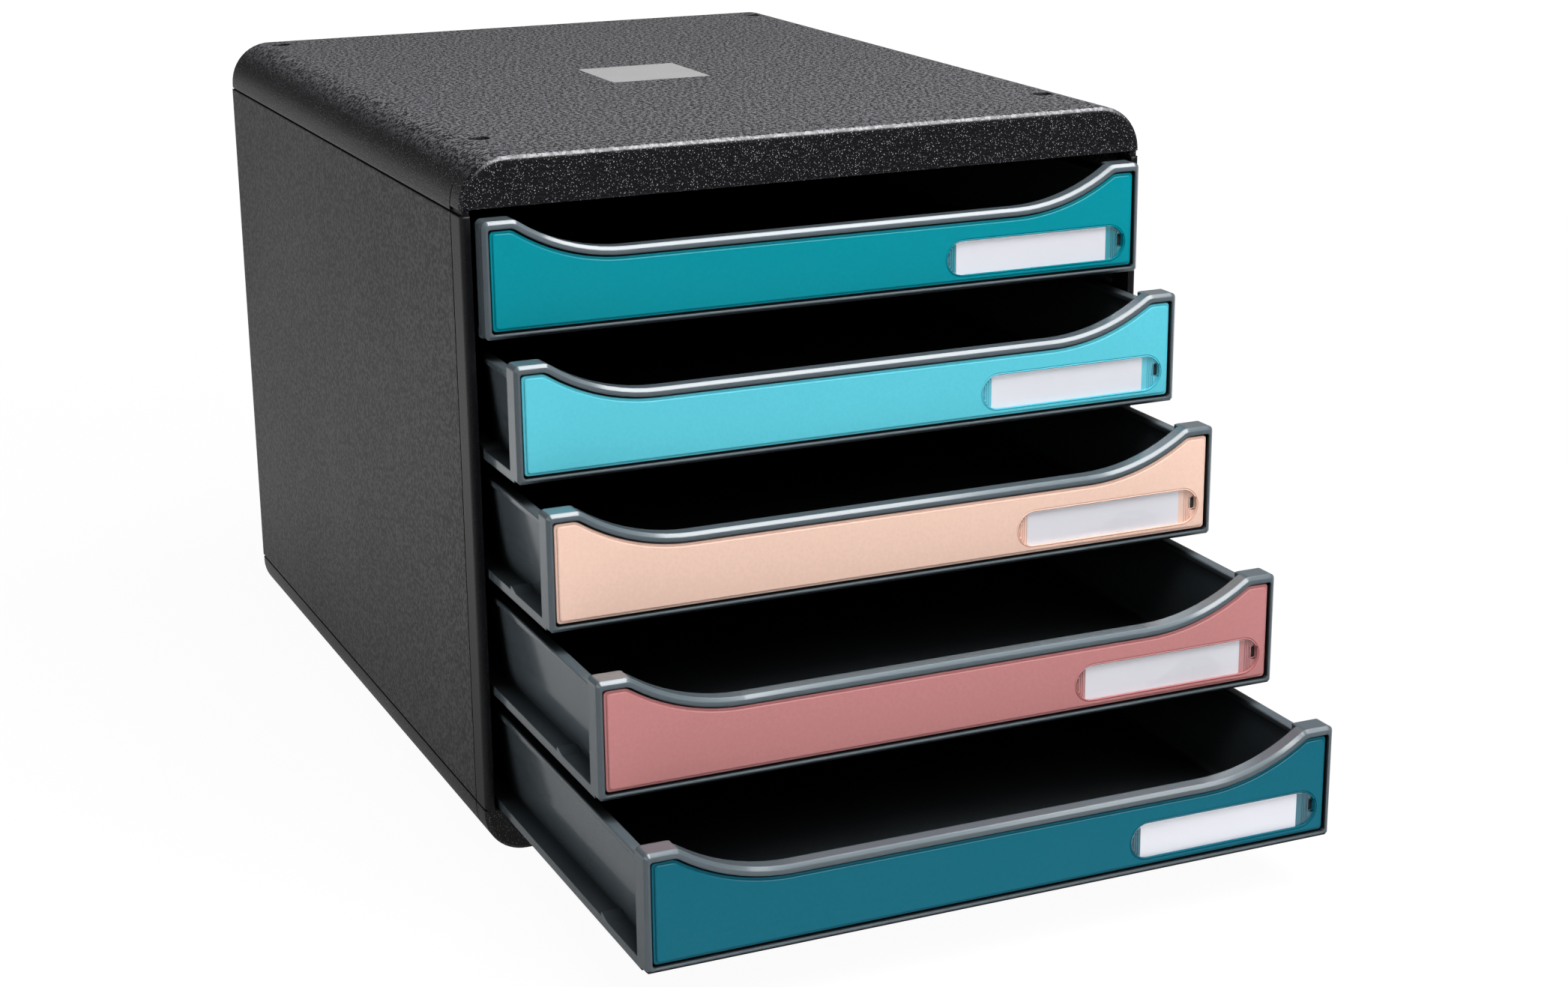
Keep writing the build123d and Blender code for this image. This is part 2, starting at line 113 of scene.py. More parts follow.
PANEL_COLOURS = {
    "panel_teal": (0.0, 0.275, 0.348),
    "panel_turquoise": (0.112, 0.60, 0.725),
    "panel_peach": (0.94, 0.645, 0.53),
    "panel_rose": (0.575, 0.237, 0.238),
    "panel_petrol": (0.006, 0.136, 0.198),
}
PANEL_SLOTS = tuple(PANEL_COLOURS)          # in the order of the drawers, top first


def opaque(colour):
    """Colour with full alpha, as a socket takes it."""
    return (*colour, 1.0)


# ---- Node trees ----
class Tree:
    """Adds nodes to a material or an effect group and joins them up."""

    def __init__(self, tree):
        self.tree = tree
        self.tree.nodes.clear()

    def add(self, kind, inputs=None, **settings):
        node = self.tree.nodes.new(kind)
        for name, value in settings.items():
            setattr(node, name, value)
        for name, value in (inputs or {}).items():
            if isinstance(value, bpy.types.NodeSocket):
                self.tree.links.new(value, node.inputs[name])
            else:
                node.inputs[name].default_value = value
        return node

    def math(self, operation, first, second=0.0):
        return self.add("ShaderNodeMath", {0: first, 1: second}, operation=operation).outputs[0]

    def remap(self, value, low, high, to_low=0.0, to_high=1.0):
        inputs = {"Value": value, "From Min": low, "From Max": high, "To Min": to_low, "To Max": to_high}
        return self.add("ShaderNodeMapRange", inputs, clamp=True).outputs["Result"]

    def blend(self, amount, first, second):
        """Colour mixed from the first towards the second by amount."""
        node = self.add("ShaderNodeMix", {"Factor": amount}, data_type="RGBA")
        for socket, colour in ((node.inputs[6], first), (node.inputs[7], second)):
            if isinstance(colour, bpy.types.NodeSocket):
                self.tree.links.new(colour, socket)
            else:
                socket.default_value = opaque(colour)
        return node.outputs[2]

    def noise(self, cell_mm, detail, scale=1.0):
        """Noise with features of the given size in millimetres."""
        inputs = {"Vector": self.place(cell_mm), "Scale": scale, "Detail": detail}
        return self.add("ShaderNodeTexNoise", inputs).outputs["Fac"]

    def normal_axes(self):
        """X, Y and Z of the surface's own normal."""
        normal = self.add("ShaderNodeNewGeometry").outputs["Normal"]
        return self.add("ShaderNodeSeparateXYZ", {"Vector": normal}).outputs

    def product(self, *values):
        """All the values multiplied together."""
        result = values[0]
        for value in values[1:]:
            result = self.math("MULTIPLY", result, value)
        return result

    def place(self, cell_mm):
        """Object position counted in cells of the given size."""
        position = self.add("ShaderNodeTexCoord").outputs["Object"]
        cells = self.math("DIVIDE", 1.0 / MM, cell_mm)
        node = self.add("ShaderNodeVectorMath", {0: position}, operation="SCALE")
        self.tree.links.new(cells, node.inputs["Scale"])
        return node.outputs[0]


def effect_group(name, inputs, outputs):
    """Empty node group with named sockets: inputs as (name, value), outputs as (name, socket type)."""
    group = bpy.data.node_groups.new(name, "ShaderNodeTree")
    for label, value in inputs:
        socket = group.interface.new_socket(label, in_out="INPUT", socket_type="NodeSocketFloat")
        socket.default_value = value
    for label, kind in outputs:
        group.interface.new_socket(label, in_out="OUTPUT", socket_type=kind)
    tree = Tree(group)
    start = tree.add("NodeGroupInput").outputs
    end = tree.add("NodeGroupOutput")
    return group, tree, start, end


def make_moulded_grain():
    """Pebbled grain of the moulding tool: rounded cells broken up by finer noise. Glint Spots is a mask of
    the highest spots, which the grained plastics lighten as painted glints."""
    group, tree, start, end = effect_group(
        "moulded grain", (("Cell Size mm", 0.8), ("Fine Size mm", 0.3), ("Fine Share", 0.4)),
        (("Height", "NodeSocketFloat"), ("Glint Spots", "NodeSocketFloat")))
    coarse = tree.place(start["Cell Size mm"])
    warp = tree.add("ShaderNodeTexNoise", {"Vector": coarse, "Scale": 0.6, "Detail": 1.0}).outputs["Color"]
    warp = tree.add("ShaderNodeVectorMath", {0: warp, 1: (0.5, 0.5, 0.5)}, operation="SUBTRACT").outputs[0]
    warped = tree.add("ShaderNodeVectorMath", {0: coarse, 1: warp}, operation="ADD").outputs[0]
    cells = tree.add("ShaderNodeTexVoronoi", {"Vector": warped, "Scale": 1.0, "Smoothness": 0.6},
                     feature="SMOOTH_F1").outputs["Distance"]
    pebbles = tree.remap(cells, 0.1, 0.8, 1.0, 0.0)
    fine_height = tree.math("MULTIPLY", tree.noise(start["Fine Size mm"], 2.0), start["Fine Share"])
    height = tree.math("ADD", pebbles, fine_height)
    tree.tree.links.new(height, end.inputs["Height"])
    tree.tree.links.new(tree.remap(height, 1.02, 1.12), end.inputs["Glint Spots"])
    return group


def make_slow_mottle():
    """Slow change over the surface, as where hands and cloths have passed: a value from Low to High."""
    group, tree, start, end = effect_group(
        "slow mottle", (("Patch Size mm", 40.0), ("Low", 0.0), ("High", 1.0)),
        (("Value", "NodeSocketFloat"),))
    value = tree.remap(tree.noise(start["Patch Size mm"], 1.0), 0.1, 0.9, start["Low"], start["High"])
    tree.tree.links.new(value, end.inputs["Value"])
    return group


def make_edge_rub():
    """Mask of the worn outer edges, and a normal that rounds them."""
    group, tree, start, end = effect_group(
        "edge rub", (("Reach mm", 0.6), ("Amount", 1.0)),
        (("Mask", "NodeSocketFloat"), ("Normal", "NodeSocketVector")))
    reach = tree.math("MULTIPLY", start["Reach mm"], MM)
    rounded = tree.add("ShaderNodeBevel", {"Radius": reach}, samples=6).outputs["Normal"]
    flat = tree.add("ShaderNodeNewGeometry").outputs["Normal"]
    along = tree.add("ShaderNodeVectorMath", {0: rounded, 1: flat}, operation="DOT_PRODUCT").outputs["Value"]
    worn = tree.remap(along, 0.985, 0.85)
    broken = tree.remap(tree.noise(start["Reach mm"], 2.0, scale=0.25), 0.35, 0.65)
    mask = tree.product(worn, broken, start["Amount"])
    tree.tree.links.new(mask, end.inputs["Mask"])
    tree.tree.links.new(rounded, end.inputs["Normal"])
    return group


def make_settled_dust():
    """Sparse pale dust on faces that look upwards."""
    group, tree, start, end = effect_group(
        "settled dust", (("Speck Size mm", 1.6), ("Amount", 0.3)), (("Mask", "NodeSocketFloat"),))
    specks = tree.add("ShaderNodeTexVoronoi", {"Vector": tree.place(start["Speck Size mm"]), "Scale": 1.0})
    near = tree.remap(specks.outputs["Distance"], 0.16, 0.05)
    chance = tree.add("ShaderNodeSeparateColor", {"Color": specks.outputs["Color"]}).outputs[0]
    few = tree.math("GREATER_THAN", chance, 0.90)
    upward = tree.remap(tree.normal_axes()["Z"], 0.5, 0.95)
    mask = tree.product(near, few, upward, start["Amount"])
    tree.tree.links.new(mask, end.inputs["Mask"])
    return group


def make_speckle_and_edge_highlight():
    """Pale speckles, and a painted highlight. Mask lies on the faces, with a share of its own on those
    that look up. Painted Front Highlight lies on the rounded edge between top and front, where light from
    above would shine."""
    group, tree, start, end = effect_group(
        "speckle and painted edge highlight", (("Speck Size mm", 2.0), ("On Top", 1.0), ("On Sides", 0.3)),
        (("Mask", "NodeSocketFloat"), ("Painted Front Highlight", "NodeSocketFloat")))
    speckled = tree.remap(tree.noise(start["Speck Size mm"], 2.0), 0.49, 0.54)
    axes = tree.normal_axes()
    upward = tree.remap(axes["Z"], 0.6, 0.98)
    share = tree.remap(upward, 0.0, 1.0, start["On Sides"], start["On Top"])
    tree.tree.links.new(tree.math("MULTIPLY", speckled, share), end.inputs["Mask"])
    sloping = tree.math("MULTIPLY", tree.remap(axes["Z"], 0.25, 0.45), tree.remap(axes["Z"], 0.96, 0.90))
    forward = tree.remap(axes["Y"], -0.22, -0.42)
    straight_on = tree.remap(tree.math("ABSOLUTE", axes["X"]), 0.45, 0.10)
    # painted highlight on the rounded front edge, broken by the speckle
    rubbed = tree.product(sloping, forward, straight_on, tree.remap(speckled, 0.0, 1.0, 0.45, 1.0))
    tree.tree.links.new(rubbed, end.inputs["Painted Front Highlight"])
    return group


def make_painted_deep_shade():
    """Painted shade: an ambient-occlusion mask of places deep inside the trays and bays, where little light
    reaches.
    """
    group, tree, start, end = effect_group(
        "painted deep shade", (("Reach mm", 45.0), ("Open Below", 0.12), ("Open Above", 0.5)),
        (("Mask", "NodeSocketFloat"),))
    reach = tree.math("MULTIPLY", start["Reach mm"], MM)
    openness = tree.add("ShaderNodeAmbientOcclusion", {"Distance": reach}, samples=8).outputs["AO"]
    shaded = tree.remap(openness, start["Open Below"], start["Open Above"], 1.0, 0.0)
    tree.tree.links.new(shaded, end.inputs["Mask"])
    return group


MOULDED_GRAIN = make_moulded_grain()
SLOW_MOTTLE = make_slow_mottle()
EDGE_RUB = make_edge_rub()
SETTLED_DUST = make_settled_dust()
SPECKLE_AND_EDGE_HIGHLIGHT = make_speckle_and_edge_highlight()
PAINTED_DEEP_SHADE = make_painted_deep_shade()


def use(tree, group, inputs):
    """Places an effect group in a material with its own values."""
    node = tree.add("ShaderNodeGroup", node_tree=group)
    for name, value in inputs.items():
        node.inputs[name].default_value = value
    return node.outputs


def new_material(name, shader_values):
    """Material with one shader that has these plain values."""
    material = bpy.data.materials.new(name)
    material.use_nodes = True
    tree = Tree(material.node_tree)
    shader = tree.add("ShaderNodeBsdfPrincipled", shader_values)
    output = tree.add("ShaderNodeOutputMaterial")
    tree.tree.links.new(shader.outputs["BSDF"], output.inputs["Surface"])
    return material, tree, shader


def mix_surface(tree, share, first, second):
    """Puts a mix of two shaders on the material's output."""
    output = next(node for node in tree.tree.nodes if node.type == "OUTPUT_MATERIAL")
    mix = tree.add("ShaderNodeMixShader", {0: share, 1: first, 2: second}).outputs[0]
    tree.tree.links.new(mix, output.inputs["Surface"])


def bump(tree, height, depth_mm, normal=None):
    """Normal of a surface that rises by height times depth_mm."""
    inputs = {"Height": height, "Distance": depth_mm * MM, "Strength": 1.0}
    if normal is not None:
        inputs["Normal"] = normal
    return tree.add("ShaderNodeBump", inputs).outputs["Normal"]


def feed(tree, shader, **sockets):
    """Links finished values to the shader's sockets, named with underscores for spaces."""
    for name, value in sockets.items():
        tree.tree.links.new(value, shader.inputs[name.replace("_", " ")])


def grained_plastic(name, colour, worn, cell, fine, depth, rough, painted_glints, rub, speckle_top=0.0, speckle_side=0.0):
    """Moulded plastic with a pebbled grain. cell, fine and depth are the grain's sizes in millimetres; rough
    is the mean roughness; the rest are how much of the worn colour shows as painted glints on the grain's
    peaks, as wear on edges and as pale speckle."""
    material, tree, shader = new_material(name, {"IOR": 1.5, "Specular IOR Level": 0.5})
    grain = use(tree, MOULDED_GRAIN, {"Cell Size mm": cell, "Fine Size mm": fine})
    mottle = use(tree, SLOW_MOTTLE, {"Patch Size mm": 90.0, "Low": rough - 0.03, "High": rough + 0.03})
    edges = use(tree, EDGE_RUB, {"Reach mm": 1.2, "Amount": rub})
    dust = use(tree, SETTLED_DUST, {"Speck Size mm": 2.2, "Amount": 0.25})
    # painted shade: seams and narrow hollows darken to near-black and turn duller
    seam_shade = use(tree, PAINTED_DEEP_SHADE, {"Reach mm": 3.0, "Open Below": 0.50, "Open Above": 0.90})
    speckle_and_highlight = use(tree, SPECKLE_AND_EDGE_HIGHLIGHT, {"Speck Size mm": 1.5, "On Top": speckle_top, "On Sides": speckle_side})
    # painted glints: the grain's highest spots take the worn colour
    glint_share = tree.math("MULTIPLY", grain["Glint Spots"], painted_glints)
    # worn is the pale colour of edge wear and speckle, and also of the painted glints
    tone = tree.blend(speckle_and_highlight["Mask"], colour, worn)
    tone = tree.blend(tree.math("MAXIMUM", glint_share, edges["Mask"]), tone, worn)
    # painted highlight along the rounded edge between top and front
    tone = tree.blend(speckle_and_highlight["Painted Front Highlight"], tone, PAINTED_EDGE_HIGHLIGHT)
    tone = tree.blend(dust["Mask"], tone, DUST_GREY)
    tone = tree.blend(seam_shade["Mask"], tone, PAINTED_SHADE_BLACK)
    rubbed = tree.math("SUBTRACT", mottle["Value"], tree.math("MULTIPLY", edges["Mask"], 0.12))
    duller = tree.math("ADD", rubbed, tree.math("MULTIPLY", seam_shade["Mask"], 0.45))
    feed(tree, shader, Base_Color=tone, Roughness=duller,
         Normal=bump(tree, grain["Height"], depth, edges["Normal"]))
    return material


def satin_plastic(name, colour, worn, rough, coat):
    """Smooth moulded plastic with a cool shine and a faint texture, with painted shade that makes it dark and
    dull deep inside a tray.
    """
    material, tree, shader = new_material(
        name, {"IOR": 1.5, "Specular IOR Level": 0.45, "Specular Tint": opaque(COOL_SHINE),
               "Coat Roughness": 0.10, "Coat Tint": opaque(COOL_COAT)})
    grain = use(tree, MOULDED_GRAIN, {"Cell Size mm": 0.5, "Fine Size mm": 0.2})
    mottle = use(tree, SLOW_MOTTLE, {"Patch Size mm": 30.0, "Low": rough - 0.02, "High": rough + 0.03})
    shade = use(tree, SLOW_MOTTLE, {"Patch Size mm": 70.0, "Low": 0.0, "High": 0.12})
    edges = use(tree, EDGE_RUB, {"Reach mm": 1.2, "Amount": 0.10})
    # painted shade deep inside a tray: darker colour, less coat and more roughness
    deep = use(tree, PAINTED_DEEP_SHADE, {"Reach mm": 120.0, "Open Below": 0.30, "Open Above": 0.60})
    tone = tree.blend(tree.math("ADD", shade["Value"], edges["Mask"]), colour, worn)
    tone = tree.blend(deep["Mask"], tone, PAINTED_SHADE_BLACK)
    shine = tree.math("MULTIPLY", tree.math("SUBTRACT", 1.0, deep["Mask"]), coat)
    duller = tree.math("ADD", mottle["Value"], tree.math("MULTIPLY", deep["Mask"], 0.4))
    feed(tree, shader, Base_Color=tone, Roughness=duller, Coat_Weight=shine,
         Normal=bump(tree, grain["Height"], 0.003, edges["Normal"]))
    return material


def gloss_plastic(name, colour):
    """Polished colour panel: a thin clear gloss over even colour, with the slight waviness of a moulding."""
    material, tree, shader = new_material(name, {"IOR": 1.5, "Specular IOR Level": 0.32})
    deeper = tuple(channel * 0.93 for channel in colour)
    grain = use(tree, MOULDED_GRAIN, {"Cell Size mm": 1.4, "Fine Size mm": 0.5})
    mottle = use(tree, SLOW_MOTTLE, {"Patch Size mm": 25.0, "Low": 0.15, "High": 0.18})
    tone = tree.blend(tree.math("MULTIPLY", grain["Height"], 0.7), colour, deeper)
    feed(tree, shader, Base_Color=tone, Roughness=mottle["Value"], Normal=bump(tree, grain["Height"], 0.001))
    return material


def paper():
    """Uncoated card of the labels: fine fibres and slightly uneven white."""
    material, tree, shader = new_material("card_paper", {"IOR": 1.45, "Specular IOR Level": 0.25})
    fibres = use(tree, MOULDED_GRAIN, {"Cell Size mm": 0.5, "Fine Size mm": 0.12})
    shade = use(tree, SLOW_MOTTLE, {"Patch Size mm": 12.0, "Low": 0.0, "High": 0.15})
    mottle = use(tree, SLOW_MOTTLE, {"Patch Size mm": 8.0, "Low": 0.7, "High": 0.8})
    tone = tree.blend(shade["Value"], CARD_WHITE, CARD_SHADED)
    feed(tree, shader, Base_Color=tone, Roughness=mottle["Value"], Normal=bump(tree, fibres["Height"], 0.01))
    return material


def silver_plate():
    """Matte silver finish of the bare plate in the lid."""
    material, tree, shader = new_material("plate_silver", {"IOR": 1.5, "Metallic": 0.35})
    grain = use(tree, MOULDED_GRAIN, {"Cell Size mm": 0.35, "Fine Size mm": 0.15})
    shade = use(tree, SLOW_MOTTLE, {"Patch Size mm": 15.0, "Low": 0.0, "High": 0.4})
    mottle = use(tree, SLOW_MOTTLE, {"Patch Size mm": 9.0, "Low": 0.36, "High": 0.46})
    tone = tree.blend(shade["Value"], PLATE_SILVER, PLATE_DULL)
    feed(tree, shader, Base_Color=tone, Roughness=mottle["Value"], Normal=bump(tree, grain["Height"], 0.006))
    return material


def clear_plastic():
    """Clear cover. Light reaches the card and leaves it again straight through the cover."""
    material, tree, shader = new_material(
        "window_clear", {"Base Color": opaque(WINDOW_CLEAR), "Roughness": 0.04, "IOR": 1.49,
                         "Transmission Weight": 1.0})
    waves = use(tree, SLOW_MOTTLE, {"Patch Size mm": 6.0, "Low": 0.0, "High": 1.0})
    feed(tree, shader, Normal=bump(tree, waves["Value"], 0.004))
    path = tree.add("ShaderNodeLightPath").outputs
    light_ray = tree.math("MAXIMUM", path["Is Shadow Ray"], path["Is Diffuse Ray"])
    through = tree.add("ShaderNodeBsdfTransparent").outputs["BSDF"]
    mix_surface(tree, light_ray, shader.outputs["BSDF"], through)
    return material


def make_materials():
    """All finishes, by the names that finish_of and the drawers use."""
    finishes = {
        "cover": grained_plastic(
            "cover_leather_grain", BLACK_PLASTIC, BLACK_PLASTIC_WEAR_AND_GLINT,
            cell=0.72, fine=0.30, depth=0.10, rough=0.38, painted_glints=0.90, rub=0.10, speckle_top=0.46),
        "post": grained_plastic(
            "post_fine_grain", BLACK_PLASTIC, BLACK_PLASTIC_WEAR_AND_GLINT,
            cell=0.80, fine=0.30, depth=0.06, rough=0.40, painted_glints=0.06, rub=0.05, speckle_top=0.10),
        "side": grained_plastic(
            "side_fine_grain", SIDE_BLACK, SIDE_BLACK_WEAR_AND_GLINT,
            cell=0.9, fine=0.36, depth=0.06, rough=0.50, painted_glints=0.5, rub=0.20, speckle_top=0.3, speckle_side=0.85),
        "inside": grained_plastic(
            "inside_plain_black", INSIDE_BLACK, BLACK_PLASTIC_WEAR_AND_GLINT,
            cell=0.5, fine=0.3, depth=0.01, rough=0.55, painted_glints=0.0, rub=0.05),
        "foot": grained_plastic(
            "foot_matte_black", INSIDE_BLACK, BLACK_PLASTIC_WEAR_AND_GLINT,
            cell=0.4, fine=0.2, depth=0.01, rough=0.7, painted_glints=0.0, rub=0.1),
        "tray": satin_plastic("tray_satin_grey", TRAY_GREY, TRAY_GREY_WORN, rough=0.25, coat=0.9),
        "card": paper(),
        "plate": silver_plate(),
        "window": clear_plastic(),
    }
    for slot, colour in PANEL_COLOURS.items():
        finishes[slot] = gloss_plastic(slot + "_gloss", colour)
    return finishes


FINISH = make_materials()
DRAWER_FINISHES = {"tray": "tray", "label_card": "card", "label_window": "window"}
CABINET_FINISHES = {
    "runner_": "inside",
    "back_panel": "inside",
    "foot_": "foot",
    "side_panel": "side",
    "front_post": "post",
    "bare_plate": "plate",
}


def finish_of(node):
    """Finish of a solid, by its name. The lid and the base take the cover's."""
    if node.startswith("drawer_"):
        _, number, kind = node.split("_", 2)
        return DRAWER_FINISHES.get(kind, PANEL_SLOTS[int(number) - 1])
    for start, finish in CABINET_FINISHES.items():
        if node.startswith(start):
            return finish
    return "cover"


def paint_solids():
    """Gives every solid from the frame its finish."""
    for node, mesh_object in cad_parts.items():
        mesh_object.data.materials.clear()
        mesh_object.data.materials.append(FINISH[finish_of(node)])


# ---- Outlines of the drawer front, in millimetres, X and Z from the middle of its lower edge ----
def turn(centre, radius, start_deg, end_deg, count):
    """Points along an arc, both ends included."""
    points = []
    for index in range(count + 1):
        angle = math.radians(start_deg + (end_deg - start_deg) * index / count)
        points.append((centre[0] + radius * math.cos(angle), centre[1] + radius * math.sin(angle)))
    return points


def front_outline(inset, corner_round, kink_round):
    """Outline inside the drawer front's border: always the same number of points, so that two of them can be
    joined. inset is counted from the border's inner edge."""
    half = HALF_FRONT - BORDER_SIDE - inset
    low = BORDER_SIDE + inset
    high = FRONT_HEIGHT - BORDER_TOP - inset
    scoop = SCOOP_HEIGHT - BORDER_TOP - inset
    radius = SCOOP_RADIUS + BORDER_TOP + inset
    scoop_centre = (SCOOP_FLAT, scoop + radius)
    kink_z = high - kink_round
    kink_x = SCOOP_FLAT + math.sqrt((radius + kink_round) ** 2 - (scoop_centre[1] - kink_z) ** 2)
    kink_angle = math.degrees(math.atan2(scoop_centre[1] - kink_z, SCOOP_FLAT - kink_x))
    right = [(0.0, low), (half / 2, low)]
    right += turn((half - corner_round, low + corner_round), corner_round, -90, 0, 6)
    right += turn((half - corner_round, high - corner_round), corner_round, 0, 90, 6)
    right += turn((kink_x, kink_z), kink_round, 90, kink_angle, 8)
    right += turn(scoop_centre, radius, kink_angle - 180, -90, 28)[1:]
    right += [(SCOOP_FLAT / 2, scoop), (0.0, scoop)]
    return right + [(-x, z) for x, z in reversed(right[1:-1])]


def stadium(grow, count=18):
    """Outline of the label window's pocket, larger all round by grow."""
    radius = WINDOW_HEIGHT / 2 + grow
    reach = (WINDOW_LENGTH - WINDOW_HEIGHT) / 2
    right = turn((WINDOW_X + reach, WINDOW_Z), radius, -90, 90, count)
    left = turn((WINDOW_X - reach, WINDOW_Z), radius, 90, 270, count)
    return right + left


# ---- Mesh making ----
def add_loop(mesh, outline, y):
    """One closed ring of vertices at depth y behind the drawer's front face."""
    return [mesh.verts.new((x * MM, y * MM, z * MM)) for x, z in outline]


def join_loops(mesh, first, second):
    """Band of faces between two rings with as many points."""
    for index, vertex in enumerate(first):
        after = (index + 1) % len(first)
        mesh.faces.new((vertex, first[after], second[after], second[index]))


def lofted(mesh, outlines):
    """Rings joined one after another. Returns the first and last ring."""
    rings = [add_loop(mesh, outline, y) for outline, y in outlines]
    for first, second in zip(rings, rings[1:]):
        join_loops(mesh, first, second)
    return rings[0], rings[-1]


def ring_edges(mesh, ring):
    """The ring's edges, made where they are missing."""
    edges = []
    for index, vertex in enumerate(ring):
        pair = (vertex, ring[(index + 1) % len(ring)])
        edges.append(mesh.edges.get(pair) or mesh.edges.new(pair))
    return edges


def fill(mesh, *rings):
    """Flat face inside the first ring and outside any others."""
    edges = [edge for ring in rings for edge in ring_edges(mesh, ring)]
    bmesh.ops.triangle_fill(mesh, use_beauty=True, use_dissolve=False, edges=edges)


SHARP_DEG = 40.0              # edges that turn by more stay sharp


def finished_object(mesh, name, material, sharp_deg=SHARP_DEG):
    """Closes a bmesh into an object with outward normals, smooth except at its sharp edges."""
    bmesh.ops.remove_doubles(mesh, verts=mesh.verts, dist=1e-7)
    bmesh.ops.recalc_face_normals(mesh, faces=mesh.faces)
    data = bpy.data.meshes.new(name)
    mesh.to_mesh(data)
    mesh.free()
    data.shade_smooth()
    data.set_sharp_from_angle(angle=math.radians(sharp_deg))
    data.materials.append(material)
    piece = bpy.data.objects.new(name, data)
    bpy.context.scene.collection.objects.link(piece)
    return piece


def cut_away(piece, cutter):
    """Takes the cutter's shape out of a piece and removes the cutter."""
    modifier = piece.modifiers.new("cut", "BOOLEAN")
    modifier.object = cutter
    modifier.operation = "DIFFERENCE"
    modifier.solver = "EXACT"
    bpy.context.view_layer.update()
    shaped = bpy.data.meshes.new_from_object(piece.evaluated_get(bpy.context.evaluated_depsgraph_get()))
    piece.modifiers.clear()
    piece.data = shaped
    piece.data.set_sharp_from_angle(angle=math.radians(SHARP_DEG))
    bpy.data.objects.remove(cutter)


# ---- A colour panel's edges, depths counted back from the drawer's front face, in millimetres ----
CORNER_ROUND = 1.3            # its upper and lower corners, seen from the front
KINK_ROUND = 4.2              # where its upper edge turns down into the scoop
KINK_TIGHTENING = 0.6         # share of an outline's inset that this round loses
EDGE_ROUND = 0.3              # its outer edge
BORDER_Y = 1.05               # its flat border
FIELD_Y = 0.36                # its raised field
STEP_INSET = 0.85             # from the panel's edge to the step between them
STEP_ROUND = 0.6              # upper edge of that step
POCKET_FLOOR_Y = 2.0          # floor of the label window's pocket
RIM_ROUND = 0.50              # mouth of that pocket
FLAT_BAND = 0.15              # narrow flat face beside a round, which keeps the shading clean


def quarter_round(radius, steps=5):
    """Offsets (inwards, outwards) along a quarter circle from a side wall up to a face."""
    angles = [math.pi / 2 * index / steps for index in range(steps + 1)]
    return [(radius * (1 - math.cos(angle)), radius * (1 - math.sin(angle))) for angle in angles]


def panel_profile():
    """Insets and depths from the panel's back edge to its raised field."""
    profile = [(0.0, PANEL_BACK)]
    profile += [(inward, BORDER_Y + below) for inward, below in quarter_round(EDGE_ROUND)]
    profile += [(EDGE_ROUND + 0.1, BORDER_Y), (STEP_INSET - FLAT_BAND, BORDER_Y), (STEP_INSET, BORDER_Y)]
    profile += [(STEP_INSET + inward, FIELD_Y + below) for inward, below in quarter_round(STEP_ROUND)]
    return profile + [(STEP_INSET + STEP_ROUND + FLAT_BAND, FIELD_Y)]


def pocket_profile():
    """Growths and depths from the raised field round the label window down to the pocket's floor."""
    rim = reversed(quarter_round(RIM_ROUND))
    profile = [(RIM_ROUND + FLAT_BAND, FIELD_Y)]
    profile += [(RIM_ROUND - below, FIELD_Y + inward) for inward, below in rim]
    return profile + [(0.0, POCKET_FLOOR_Y)]


def window_ribs(mesh):
    """Fine upright ribs on the pocket's floor beside both ends of the card."""
    radius = WINDOW_HEIGHT / 2 - RIBS_BELOW_RIM
    reach = (WINDOW_LENGTH - WINDOW_HEIGHT) / 2
    foot, crest = RIB_WIDTH / 2, RIB_WIDTH / 4
    section = ((-foot, 0.0), (-crest, -RIB_HEIGHT), (crest, -RIB_HEIGHT), (foot, 0.0))
    for start, end in (LEFT_RIBS, RIGHT_RIBS):
        count = int((end - start) / RIB_PITCH)
        for index in range(count + 1):
            x = start + index * RIB_PITCH
            beyond = max(0.0, abs(x - WINDOW_X) - reach)
            tall = math.sqrt(max(radius ** 2 - beyond ** 2, 1.0))
            ends = []
            for z in (WINDOW_Z - tall, WINDOW_Z + tall):
                points = [((x + dx) * MM, (POCKET_FLOOR_Y + dy) * MM, z * MM) for dx, dy in section]
                ends.append([mesh.verts.new(point) for point in points])
            join_loops(mesh, ends[0], ends[1])
            for ring in ends:
                mesh.faces.new(ring)


def nail_slot_cutter():
    """Upright block with rounded corners, longer than the panel is thick."""
    mesh = bmesh.new()
    reach_x = NAIL_SLOT_WIDTH / 2 - NAIL_SLOT_ROUND
    reach_z = NAIL_SLOT_HEIGHT / 2 - NAIL_SLOT_ROUND
    outline = []
    for side, start in ((1, -90), (-1, 90)):
        x = NAIL_SLOT_X + side * reach_x
        outline += turn((x, NAIL_SLOT_Z - side * reach_z), NAIL_SLOT_ROUND, start, start + 90, 4)
        outline += turn((x, NAIL_SLOT_Z + side * reach_z), NAIL_SLOT_ROUND, start + 90, start + 180, 4)
    front, back = lofted(mesh, ((outline, -1.0), (outline, PANEL_BACK + 1.0)))
    fill(mesh, front)
    fill(mesh, back)
    return finished_object(mesh, "nail_slot_cutter", FINISH["inside"])


def colour_panel_mesh(name, finish):
    """Colour panel with rounded edges, a raised field inside a fine step, and the label window's pocket."""
    mesh = bmesh.new()
    outlines = []
    for inset, y in panel_profile():
        kink_round = KINK_ROUND - KINK_TIGHTENING * inset
        outlines.append((front_outline(PANEL_GAP + inset, CORNER_ROUND, kink_round), y))
    back, field = lofted(mesh, outlines)
    mouth, floor = lofted(mesh, [(stadium(grow), y) for grow, y in pocket_profile()])
    fill(mesh, back)
    fill(mesh, field, mouth)
    fill(mesh, floor)
    piece = finished_object(mesh, name, FINISH[finish])
    cut_away(piece, nail_slot_cutter())
    return piece


